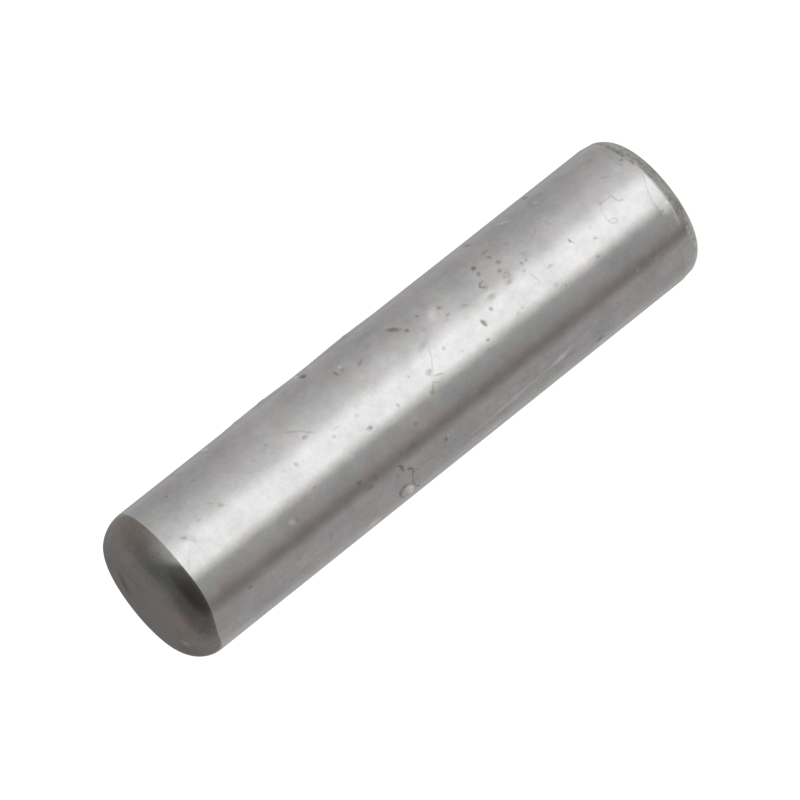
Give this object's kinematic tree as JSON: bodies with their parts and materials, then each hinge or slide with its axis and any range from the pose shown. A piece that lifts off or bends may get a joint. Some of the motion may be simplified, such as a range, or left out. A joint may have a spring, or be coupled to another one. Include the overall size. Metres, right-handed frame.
{
  "type": "dowel pin",
  "caption": "Ground steel dowel pin with a crowned end and a chamfered lead end, pressed into reamed holes to locate mating parts.",
  "frame": {"origin": "middle of the lead end's flat face, on which the pin stands", "axes": "+Z along the pin's axis, from the lead end up to the crowned end"},
  "size_m": [0.006, 0.006, 0.0243],
  "materials": {
    "ground_steel": "ground and hardened, with pits, scratches and stains from use"
  },
  "bodies": {
    "root": {"dowel_pin": "ground_steel"}
  },
  "joints": []
}
